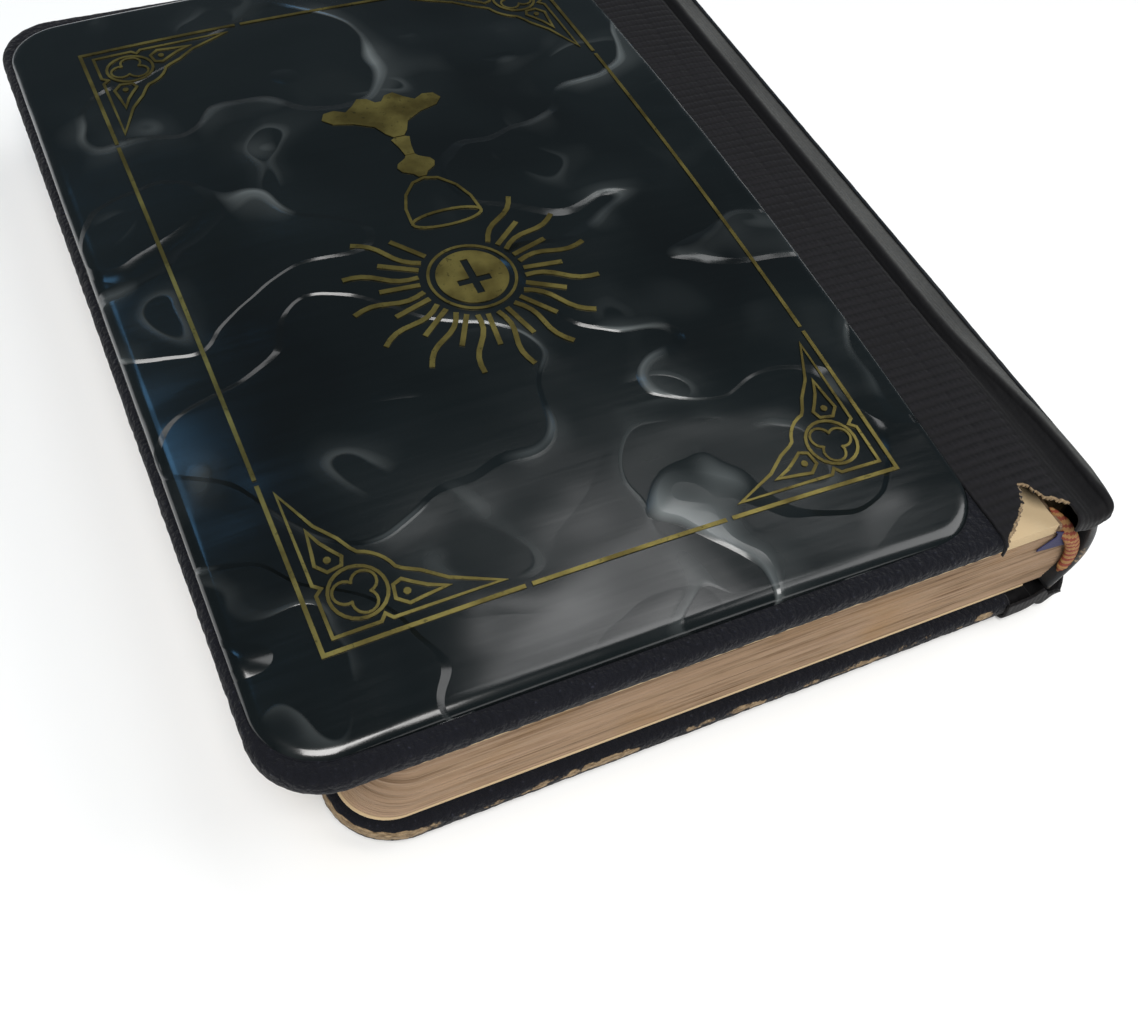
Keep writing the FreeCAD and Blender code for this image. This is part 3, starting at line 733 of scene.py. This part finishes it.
def joint_profile(t, y, up, plate_x, groove):
    """Section of the ribbed cloth from under the plate over the groove to the spine: x and height."""
    crest = crest_x(y if up > 0 else 0.0)
    ribs = SPINE_LO.x + 8.0 * MM
    flat = plate_x - ribs
    knots = [
        (plate_x + 0.3 * MM, 0.10 * MM), (plate_x - 0.25 * flat, 0.12 * MM), (ribs + 0.4 * flat, 0.05 * MM),
        (ribs + 0.12 * flat, -0.1 * MM), (ribs, -0.35 * MM), (ribs * 0.5 + crest * 0.5, -groove),
        (crest + 0.5 * MM, -0.4 * MM), (crest, 0.05 * MM), (crest - 1.0 * MM, -0.3 * MM),
        (crest * 0.5 + (SPINE_LO.x + 1.6 * MM) * 0.5, -0.95 * MM), (SPINE_LO.x + 1.5 * MM, -2.0 * MM),
        (SPINE_LO.x + 0.7 * MM, -3.9 * MM),
    ]
    s = t * (len(knots) - 1)
    k = min(int(s), len(knots) - 2)
    f = s - k
    p0, p1, p2, p3 = (knots[max(0, min(len(knots) - 1, k + d))] for d in (-1, 0, 1, 2))
    x, h = (0.5 * (2 * b + (c - a) * f + (2 * a - 5 * b + 4 * c - d) * f * f
                   + (3 * b - a - 3 * c + d) * f ** 3) for a, b, c, d in zip(p0, p1, p2, p3))
    if x < crest:
        pull = cap_pull(y, MID_Z)
        x += pull * (crest - x) / (crest - SPINE_LO.x)
        h = max(h, -3.9 * MM + 0.75 * pull)
    return x, h


def tear_line(x):
    """Where the torn edge of the front joint lies at the head, over the given x; 1 m where it is whole."""
    knots = [  # x and y in millimetres
        (-40.7, 58.6), (-38.8, 57.6), (-37.8, 56.2), (-37.4, 55.1), (-36.7, 54.7), (-35.0, 57.6),
        (-33.0, 59.2), (-30.9, 60.7),
    ]
    if x / MM < knots[0][0] or x / MM > knots[-1][0]:
        return 1.0
    for (x0, y0), (x1, y1) in zip(knots, knots[1:]):
        if x / MM <= x1:
            line = y0 + (y1 - y0) * (x / MM - x0) / (x1 - x0)
            return line * MM + 0.4 * MM * wobble(x, 0, 0, 0.6 * MM, 9)


def joint_sheet(name, level, up, body, nodes, sizes, plate_x, torn):
    """Ribbed cloth of one joint, folded down over the board edge at head and tail."""
    half = CLOTH_HI.y + 0.15 * MM  # just proud of the board's own cloth
    fold = 1.0 * MM
    drop = (1.6 if up > 0 else 2.5) * MM
    run = 2 * half + 2 * drop
    ribs = SPINE_LO.x + 8.0 * MM

    def place(i, j):
        s = j * run - drop
        y = -half + s
        x, h = joint_profile(i, y, up, plate_x, sizes.groove)
        sink = 0.0
        over = max(-half + fold - y, y - (half - fold), 0.0)
        if over > 0:
            a = min(over / fold, math.pi / 2)
            y = math.copysign(half - fold + fold * math.sin(a), y)
            sink = fold * (1 - math.cos(a)) + max(0.0, over - fold * math.pi / 2)
            sink *= 1 - 0.92 * ease((-h - 0.7 * MM) / (1.6 * MM))
        amount = ease((x - ribs) / (1.0 * MM) + 0.5)
        rib = math.sin(2 * math.pi * (s + 0.4 * MM * wobble(x, s, 0, 8 * MM, 1)) / sizes.rib_pitch)
        lift = amount * sizes.rib_depth * 0.5 * (rib - 1) * (1 - min(1.0, sink / MM))
        from_crease = x - ribs - 4.5 * MM + 0.2 * MM * wobble(0, s, 0, 20 * MM, 2)
        crease = 0.12 * MM * math.exp(-(from_crease / (0.3 * MM)) ** 2)
        h = h + lift - crease + 0.05 * MM * wobble(x, s, 0, 1.2 * MM, 7)
        return Vector((x, y, level + up * (h - sink)))

    obj = grid(name, 110, 720, place)
    painted_rib_highlight = obj.data.attributes.new("painted_rib_highlight", "FLOAT", "POINT")
    wear = obj.data.attributes.new("wear", "FLOAT", "POINT")
    band = obj.data.attributes.new("band", "FLOAT", "POINT")
    for vert in obj.data.vertices:
        co = vert.co
        crest = crest_x(co.y)
        amount = ease((co.x - ribs) / (1.0 * MM) + 0.5)
        # Painted highlight and shade: crowns of the ribs paler, hollows between them darker.
        rib = 0.5 + 0.5 * math.sin(2 * math.pi * (co.y + half) / sizes.rib_pitch)
        painted_rib_highlight.data[vert.index].value = amount * (0.1 + 0.5 * rib) + (1 - amount) * 0.05
        # Painted sheen: a grey band on the shoulder past the crest, fading out towards the head.
        shoulder = ease((crest + 0.1 * MM - co.x) / (0.5 * MM))
        shoulder *= 1 - ease((co.y - half + 5 * MM) / (4 * MM))
        band.data[vert.index].value = shoulder * (0.75 + 0.25 * wobble(co.x, co.y, 0, 10 * MM, 4))
        rim = abs(co.y - tear_line(co.x)) if torn else 1.0
        wear.data[vert.index].value = math.exp(-(rim / (0.4 * MM)) ** 2)
    if torn:
        tear = [face.index for face in obj.data.polygons if face.center.y > tear_line(face.center.x)]
        edit(obj, "DESELECT")
        bpy.ops.object.mode_set(mode="OBJECT")
        for index in tear:
            obj.data.polygons[index].select = True
        bpy.ops.object.mode_set(mode="EDIT")
        bpy.ops.mesh.delete(type="FACE")
        bpy.ops.object.mode_set(mode="OBJECT")
    if up < 0:
        turn_over(obj)
    apply_modifier(obj, "SOLIDIFY", thickness=0.32 * MM, offset=-1.0)
    hinge_x = SPINE_LO.x + 3.1 * MM  # the hinge line of the cover
    begin = (hinge_x - 0.3 * MM, 0, level)
    end = (hinge_x + 2.2 * MM, 0, level)
    finish_piece(obj, ("text_block", body, begin, end), [finish("rib")], nodes=nodes)


class BOOK_OT_joint_cloth(bpy.types.Operator):
    """Ribbed cloth from each plate over the joint to the spine"""
    bl_idname = "book.joint_cloth"
    bl_label = "Joint cloth"

    def execute(self, context):
        sizes = context.scene.book_sizes
        joint_sheet("joint_cloth_front", CLOTH_HI.z, 1, "front_cover", ("front_joint_cloth",), sizes,
                    PLATE_LO.x, True)
        joint_sheet("joint_cloth_back", BACK_LO.z, -1, "back_cover", ("back_joint_cloth",), sizes,
                    low("back_plate").x, False)
        return {"FINISHED"}


class BOOK_OT_spine(bpy.types.Operator):
    """Smooth cloth drawn over the curved spine, rounded in at head and tail"""
    bl_idname = "book.spine"
    bl_label = "Spine cloth"

    def execute(self, context):
        half = SPINE_HI.y
        bulge = 2.5 * MM
        reach = (SPINE_HI.z - SPINE_LO.z) / 2 + 1.0 * MM
        radius = (reach ** 2 + bulge ** 2) / (2 * bulge) + 1.2 * MM
        centre = SPINE_LO.x + radius
        turn = 3.0 * MM

        def place(i, j):
            a = (2 * i - 1) * math.asin(reach / radius)
            s = (2 * j - 1) * (half + turn)
            over = max(0.0, abs(s) - half)
            y = math.copysign(min(abs(s), half) - max(0.0, over - 0.7 * MM), s)
            z = MID_Z + radius * math.sin(a)
            r = radius - cap_pull(min(abs(s), half), z) - min(over, 0.7 * MM)
            r += 0.04 * MM * wobble(a * 10 * MM, s, 0, 4 * MM, 2)
            return Vector((centre - r * math.cos(a), y, MID_Z + r * math.sin(a)))

        obj = grid("spine_cloth_smooth", 30, 260, place)
        face_out(obj)

        def wear_and_sheen(co):
            end = max(0.0, 1 - (half - abs(co.y)) / (1.2 * MM))
            return end * (0.35 + 0.4 * wobble(co.x, co.y, co.z, 3 * MM, 2))

        paint(obj, "wear", wear_and_sheen)
        if sum(p.normal.x for p in obj.data.polygons if abs(p.center.y) < half / 2) > 0:
            turn_over(obj)
        apply_modifier(obj, "SOLIDIFY", thickness=0.35 * MM, offset=-1.0)
        finish_piece(obj, "text_block", [finish("spine")], nodes=("spine_cloth",))
        return {"FINISHED"}


def text_outline(count, z):
    """Closed outline of the leaves at one height, counted from the head end of the spine."""
    half = high("rear_section_1").y
    back = fold_line(z)
    fore = high("front_flyleaf").x + 0.1 * MM - 1.6 * MM * (1 - ((z - MID_Z) / (6 * MM)) ** 2)
    r = TEXT_CORNER
    points = []
    side = count // 4
    for k in range(side):
        points.append(Vector((back + (fore - r - back) * k / side, half, z)))
    arc = count // 8
    for k in range(arc):
        a = math.pi / 2 * (1 - k / arc)
        points.append(Vector((fore - r + r * math.cos(a), half - r + r * math.sin(a), z)))
    run = count - 2 * side - 2 * arc
    for k in range(run):
        points.append(Vector((fore, half - r - 2 * (half - r) * k / run, z)))
    for k in range(arc):
        a = -math.pi / 2 * k / arc
        points.append(Vector((fore - r + r * math.cos(a), -half + r + r * math.sin(a), z)))
    for k in range(side):
        points.append(Vector((fore - r - (fore - r - back) * (k + 0.5) / side, -half, z)))
    return points


def page_stack(name, z0, z1, layers, body, nodes, seed, step):
    """A stack of leaves whose cut edges stand slightly in and out of line."""
    count = 320
    start()
    bpy.ops.mesh.primitive_circle_add(vertices=count, fill_type="NGON")
    obj = bpy.context.object
    obj.name = obj.data.name = name
    height = (z1 - z0) / layers

    def settle(level, offset):
        ring = text_outline(count, level)
        chosen = [v for v in obj.data.vertices if v.select]
        for vert, point in zip(chosen, ring):
            shift = offset + 0.3 * step * wobble(point.x, point.y, level * 4, 18 * MM, seed)
            inward = Vector((PLATE_C.x - point.x, -point.y, 0)).normalized()
            if point.x < fold_line(level) + 0.5 * MM:
                shift = 0.0
            vert.co = point + inward * (shift + step)

    settle(z0, 0.0)
    level = z0
    for k in range(layers):
        offset = step * wobble(k * 1.7, seed, 0.3, 1.0, seed)
        for part in (0.82, 0.18):
            start()
            obj.select_set(True)
            bpy.context.view_layer.objects.active = obj
            bpy.ops.object.mode_set(mode="EDIT")
            bpy.ops.mesh.extrude_region_move(TRANSFORM_OT_translate={"value": (0, 0, height * part)})
            bpy.ops.object.mode_set(mode="OBJECT")
            level += height * part
            settle(level, offset if part > 0.5 else step * 0.9)
    face_out(obj)
    flat = [abs(face.normal.z) > 0.9 and face.area > 1e-3 for face in obj.data.polygons]
    finish_piece(obj, body, [finish("page"), finish("leaf")], smooth=False, nodes=nodes)
    for face, is_flat in zip(obj.data.polygons, flat):
        face.material_index = 1 if is_flat else 0


def fold_shoulder(name, z0, z1, inner_x):
    """Folded backs of the free leaves, between the spine and the line they turn on."""
    half = high("rear_section_1").y - 0.05 * MM
    sides = 4

    def place(i, j):
        s = j * sides
        z = z0 + (z1 - z0) * (0.0 if s < 1 else min(1.0, s - 1) if s < 2 else 1.0 if s < 3 else 4 - s)
        x = fold_line(z) + 0.25 * MM if 1 <= s < 2 else inner_x
        if s < 1:
            x = inner_x + (fold_line(z0) + 0.25 * MM - inner_x) * s
        elif 2 <= s < 3:
            x = fold_line(z1) + 0.25 * MM + (inner_x - fold_line(z1) - 0.25 * MM) * (s - 2)
        edge = 0.05 * MM * wobble(x, z * 9, 0, MM, 4)
        return Vector((x, (2 * i - 1) * half + edge, z))

    obj = grid(name, 60, 64, place)
    edit(obj)
    bpy.ops.mesh.remove_doubles(threshold=1e-6)
    bpy.ops.mesh.fill_holes(sides=0)
    bpy.ops.object.mode_set(mode="OBJECT")
    face_out(obj)
    finish_piece(obj, "front_leaves", [finish("page")], smooth=False)


class BOOK_OT_pages(bpy.types.Operator):
    """Stacks of leaves with cut, aged edges"""
    bl_idname = "book.pages"
    bl_label = "Pages"

    def execute(self, context):
        step = context.scene.book_sizes.page_step
        for half_name, body in (("rear", "text_block"), ("front", "front_leaves")):
            for k in (1, 2, 3):
                node = "%s_section_%d" % (half_name, k)
                lo, hi = low(node), high(node)
                gap = 0.0 if k == 3 else 0.04 * MM
                page_stack("%s_pages_%d" % (half_name, k), lo.z, hi.z + gap, 6, body, (node,),
                           k + (5 if body == "front_leaves" else 0), step)
        fold_shoulder("front_fold_shoulder", high("front_section_3").z + 0.02 * MM, TEXT_HI.z - 0.2 * MM,
                      low("front_flyleaf").x - 0.5 * MM)
        return {"FINISHED"}


class BOOK_OT_headbands(bpy.types.Operator):
    """Striped silk beads at head and tail of the spine"""
    bl_idname = "book.headbands"
    bl_label = "Headbands"

    def execute(self, context):
        turn_width = context.scene.book_sizes.silk
        for node, name in (("headband", "headband_silk"), ("tailband", "tailband_silk")):
            lo, hi = low(node), high(node)
            y = (lo.y + hi.y) / 2
            bead = (hi.y - lo.y) / 2
            top, foot = hi.z + 0.9 * MM, lo.z + 0.4 * MM

            def place(i, j):
                z = foot + (top - foot) * j
                lean = (fold_line(z + 0.1 * MM) - fold_line(z - 0.1 * MM)) / (0.2 * MM)
                out = Vector((-1, 0, lean)).normalized()
                s = (top - foot) * j * math.sqrt(1 + (lean * 0.5) ** 2)
                ridge = 0.86 + 0.14 * abs(math.sin(math.pi * s / (turn_width / 2)))
                ends = min(1.0, 6 * min(j, 1 - j) + 0.05)
                b = 2 * math.pi * i
                side = math.copysign(2.6 * MM * ease((j - 0.72) / 0.28), y)
                centre = Vector((fold_line(z) + 0.1 * MM, y - side, z + abs(side) * 0.25))
                return centre + (out * 1.55 * math.cos(b) + Vector((0, math.sin(b), 0))) * bead * ridge * ends

            obj = grid(name, 16, 160, place)
            face_out(obj)
            for face in obj.data.polygons:
                j = (face.center.z - foot) / (top - foot)
                lean = 6 * (face.center.z - MID_Z + COCK) / (36 * MM)
                s = (top - foot) * j * math.sqrt(1 + (lean * 0.5) ** 2)
                face.material_index = 0 if s / turn_width % 1 < 0.45 else 1
            mats = [finish("red"), finish("straw")]
            picks = [face.material_index for face in obj.data.polygons]
            finish_piece(obj, "text_block", mats, nodes=(node,))
            for face, pick in zip(obj.data.polygons, picks):
                face.material_index = pick
        return {"FINISHED"}


class BOOK_OT_ribbon(bpy.types.Operator):
    """Frayed stub of the marker ribbon over the headband"""
    bl_idname = "book.ribbon"
    bl_label = "Ribbon stub"

    def execute(self, context):
        head = high("ribbon_stub").y
        low_z = low("ribbon_stub").z
        edge = head - 1.25 * MM
        rows = [  # distance from the spine folds, place along the book, lower and upper edge
            (-0.35, edge - 7 * MM, 0.3, 3.4), (-0.35, edge - 1.0 * MM, 3.0, 6.2), (0.15, edge, 4.0, 7.6),
            (1.2, edge + 0.1 * MM, 5.0, 8.6), (2.7, edge + 0.12 * MM, 5.3, 7.3),
            (4.6, edge + 0.1 * MM, 5.6, 5.9),
        ]

        def place(i, j):
            s = j * (len(rows) - 1)
            k = min(int(s), len(rows) - 2)
            f = s - k
            x, y, z0, z1 = (a * (1 - f) + b * f for a, b in zip(rows[k], rows[k + 1]))
            z = low_z + (z0 + (z1 - z0) * i) * MM
            back = fold_line(z) if k < 3 else fold_line(z) * (1 - f) + fold_line(low_z + 6 * MM) * f
            if k > 3:
                back = fold_line(low_z + 6 * MM)
            return Vector((back + x * MM + 0.08 * MM * wobble(0, y, z, 1.2 * MM, 3), y, z))

        obj = grid("ribbon_stub_silk", 10, 40, place)
        face_out(obj)
        apply_modifier(obj, "SOLIDIFY", thickness=0.12 * MM, offset=0.0)
        finish_piece(obj, "text_block", [finish("violet")], nodes=("ribbon_stub",))
        return {"FINISHED"}


class BOOK_OT_frame_finishes(bpy.types.Operator):
    """Finishes on the pieces whose shape the frame already has"""
    bl_idname = "book.frame_finishes"
    bl_label = "Frame finishes"

    def execute(self, context):
        wanted = {
            "gilt": ["gilt_" + part for part in ("frame", "corner_ornaments", "sunburst", "medallion",
                                                 "chalice")],
            "leaf": ["front_flyleaf", "back_flyleaf", "front_pastedown", "back_pastedown"]
                    + ["leaf_%d" % k for k in range(1, 6)],
            "board": ["front_board", "back_board", "spine_inlay", "hollow_lining"],
            "mull": ["mull_front", "mull_rear", "front_padding"],
            "pearl": ["back_plate"],
        }
        for name, nodes in wanted.items():
            for node in nodes:
                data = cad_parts[node].data
                data.materials.clear()
                data.materials.append(finish(name))
        return {"FINISHED"}


class BOOK_OT_stage(bpy.types.Operator):
    """Backdrop, soft lights and camera"""
    bl_idname = "book.stage"
    bl_label = "Stage"

    def execute(self, context):
        start()
        bpy.ops.mesh.primitive_plane_add(size=6, location=(0, 0, 0))
        floor = bpy.context.object
        floor.name = "floor"
        floor.data.materials.append(studio_paper())
        world = bpy.data.worlds.new("studio")
        world.use_nodes = True
        world.node_tree.nodes["Background"].inputs["Color"].default_value = (0.7, 0.88, 1.0, 1)
        world.node_tree.nodes["Background"].inputs["Strength"].default_value = 0.1
        context.scene.world = world
        context.scene.view_settings.view_transform = "Standard"
        lamps = [
            ("key", (0.25, 0.5, 0.85), 0.5, 10.0, (1.0, 0.98, 0.96)),
            ("sheen", (-0.25, -0.1, 0.75), 0.26, 0.7, (1.0, 1.0, 1.0)),
            ("fore_blue", (0.2, -0.5, 0.7), 0.22, 0.45, (0.2, 0.55, 1.0)),
            ("fill", (-0.7, 0.2, 0.6), 0.6, 3.0, (1.0, 1.0, 1.0)),
        ]
        for name, place, size, power, tint in lamps:
            data = bpy.data.lights.new(name, "AREA")
            data.size = size
            data.energy = power
            data.color = tint
            lamp = bpy.data.objects.new(name, data)
            lamp.location = place
            lamp.rotation_euler = (Vector((0, 0, 0.01)) - Vector(place)).to_track_quat("-Z", "Y").to_euler()
            context.scene.collection.objects.link(lamp)
        data = bpy.data.cameras.new("camera")
        data.sensor_width = 36
        data.lens = 44.135
        camera = bpy.data.objects.new("camera", data)
        middle = Vector(((GILT_LO.x + GILT_HI.x) / 2, 0, PLATE_HI.z))
        camera.location = middle + Vector((48.65, 115.81, 109.72)) * MM
        camera.rotation_euler = [math.radians(angle) for angle in (37.714, -5.011, 155.275)]
        context.scene.collection.objects.link(camera)
        context.scene.camera = camera
        return {"FINISHED"}


class BOOK_PT_panel(bpy.types.Panel):
    """Lists the sizes, colours and pieces of the book"""
    bl_idname = "BOOK_PT_panel"
    bl_label = "Prayer Book"
    bl_space_type = "VIEW_3D"
    bl_region_type = "UI"
    bl_category = "Prayer Book"

    def draw(self, context):
        for group in (context.scene.book_sizes, context.scene.book_colours):
            for key in group.__annotations__:
                self.layout.prop(group, key)
        for piece in PIECES:
            self.layout.operator(piece.bl_idname)


PIECES = (BOOK_OT_frame_finishes, BOOK_OT_front_plate, BOOK_OT_cover_cloth, BOOK_OT_joint_cloth,
          BOOK_OT_spine, BOOK_OT_pages, BOOK_OT_headbands, BOOK_OT_ribbon, BOOK_OT_stage)
CLASSES = (BookSizes, BookColours) + PIECES + (BOOK_PT_panel,)


def register():
    for cls in CLASSES:
        bpy.utils.register_class(cls)
    bpy.types.Scene.book_sizes = bpy.props.PointerProperty(type=BookSizes)
    bpy.types.Scene.book_colours = bpy.props.PointerProperty(type=BookColours)


def unregister():
    del bpy.types.Scene.book_colours
    del bpy.types.Scene.book_sizes
    for cls in reversed(CLASSES):
        bpy.utils.unregister_class(cls)


def main():
    register()
    for piece in PIECES:
        getattr(bpy.ops.book, piece.bl_idname.split(".")[1])()


if __name__ == "__main__":
    main()
